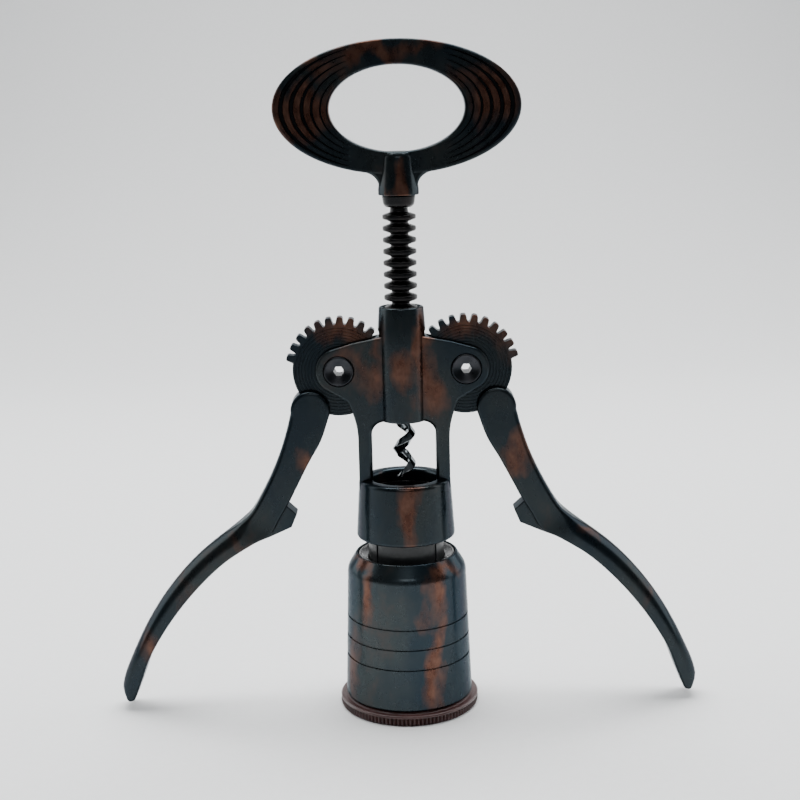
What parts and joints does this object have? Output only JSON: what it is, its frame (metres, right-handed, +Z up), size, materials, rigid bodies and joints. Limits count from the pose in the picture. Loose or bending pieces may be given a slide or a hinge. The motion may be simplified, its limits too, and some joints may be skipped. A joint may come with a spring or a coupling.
{
  "type": "lever corkscrew",
  "caption": "Wing corkscrew: two geared levers lift a ring rack with an oval handle and a steel worm through a slotted frame above a sliding bell that centres on the bottle.",
  "frame": {"origin": "bottom centre, on the surface that the base ring stands on, under the worm's axis", "axes": "+Z up along the worm and rack; X across the two levers, +X to the lever on the right; Y through the handle's finger hole, -Y towards the viewer"},
  "size_m": [0.2488, 0.0594, 0.2801],
  "materials": {
    "patina": "oxidised bronze, blue-black with soft copper-brown patches, under a gloss lacquer",
    "dark_steel": "black-oxide steel, semi-gloss",
    "bright_steel": "bright polished steel",
    "black_plastic": "black plastic, glossy",
    "brown_plastic": "dark red-brown plastic, satin, ribbed",
    "bronze": "sintered bronze"
  },
  "bodies": {
    "frame": {"frame": "patina", "bottle_seat_ring": "black_plastic", "bottle_tube": "dark_steel", "bell_stop_ring": "dark_steel", "bell_spring": "bright_steel", "left_pivot_screw": "dark_steel", "left_pivot_nut": "dark_steel", "right_pivot_screw": "dark_steel", "right_pivot_nut": "dark_steel"},
    "bell": {"bell": "patina", "bell_guide_bush": "black_plastic", "bell_base_ring": "brown_plastic"},
    "left_lever": {"left_lever": "patina", "left_pivot_bush": "bronze"},
    "right_lever": {"right_lever": "patina", "right_pivot_bush": "bronze"},
    "rack": {"rack_sleeve": "dark_steel"},
    "screw": {"spindle": "dark_steel", "handle": "patina", "handle_cross_pin": "dark_steel", "worm_socket": "dark_steel", "worm": "bright_steel", "worm_lock_pin": "bright_steel"}
  },
  "joints": [
    {"name": "left_lever_hinge", "type": "hinge", "parent": "frame", "child": "left_lever", "pos_m": [-0.0264, 0, 0.1468], "axis": [0, 1, 0], "range_deg": [-22, 120]},
    {"name": "right_lever_hinge", "type": "hinge", "parent": "frame", "child": "right_lever", "pos_m": [0.0264, 0, 0.1468], "axis": [0, -1, 0], "range_deg": [-22, 120]},
    {"name": "rack_slide", "type": "slide", "parent": "frame", "child": "rack", "axis": [0, 0, 1], "range_m": [-0.044, 0.0081]},
    {"name": "handle_spin", "type": "hinge", "parent": "rack", "child": "screw", "pos_m": [0, 0, 0.2], "axis": [0, 0, 1], "continuous": true},
    {"name": "bell_slide", "type": "slide", "parent": "frame", "child": "bell", "axis": [0, 0, 1], "range_m": [0, 0.0065], "stiffness_N_per_m": 1000, "springref_m": -0.02, "deforming": ["bell_spring"]}
  ],
  "couplings": [
    {"joint": "right_lever_hinge", "follows": "left_lever_hinge", "ratio": 1},
    {"joint": "rack_slide", "follows": "left_lever_hinge", "m_per_rad": -0.021}
  ]
}
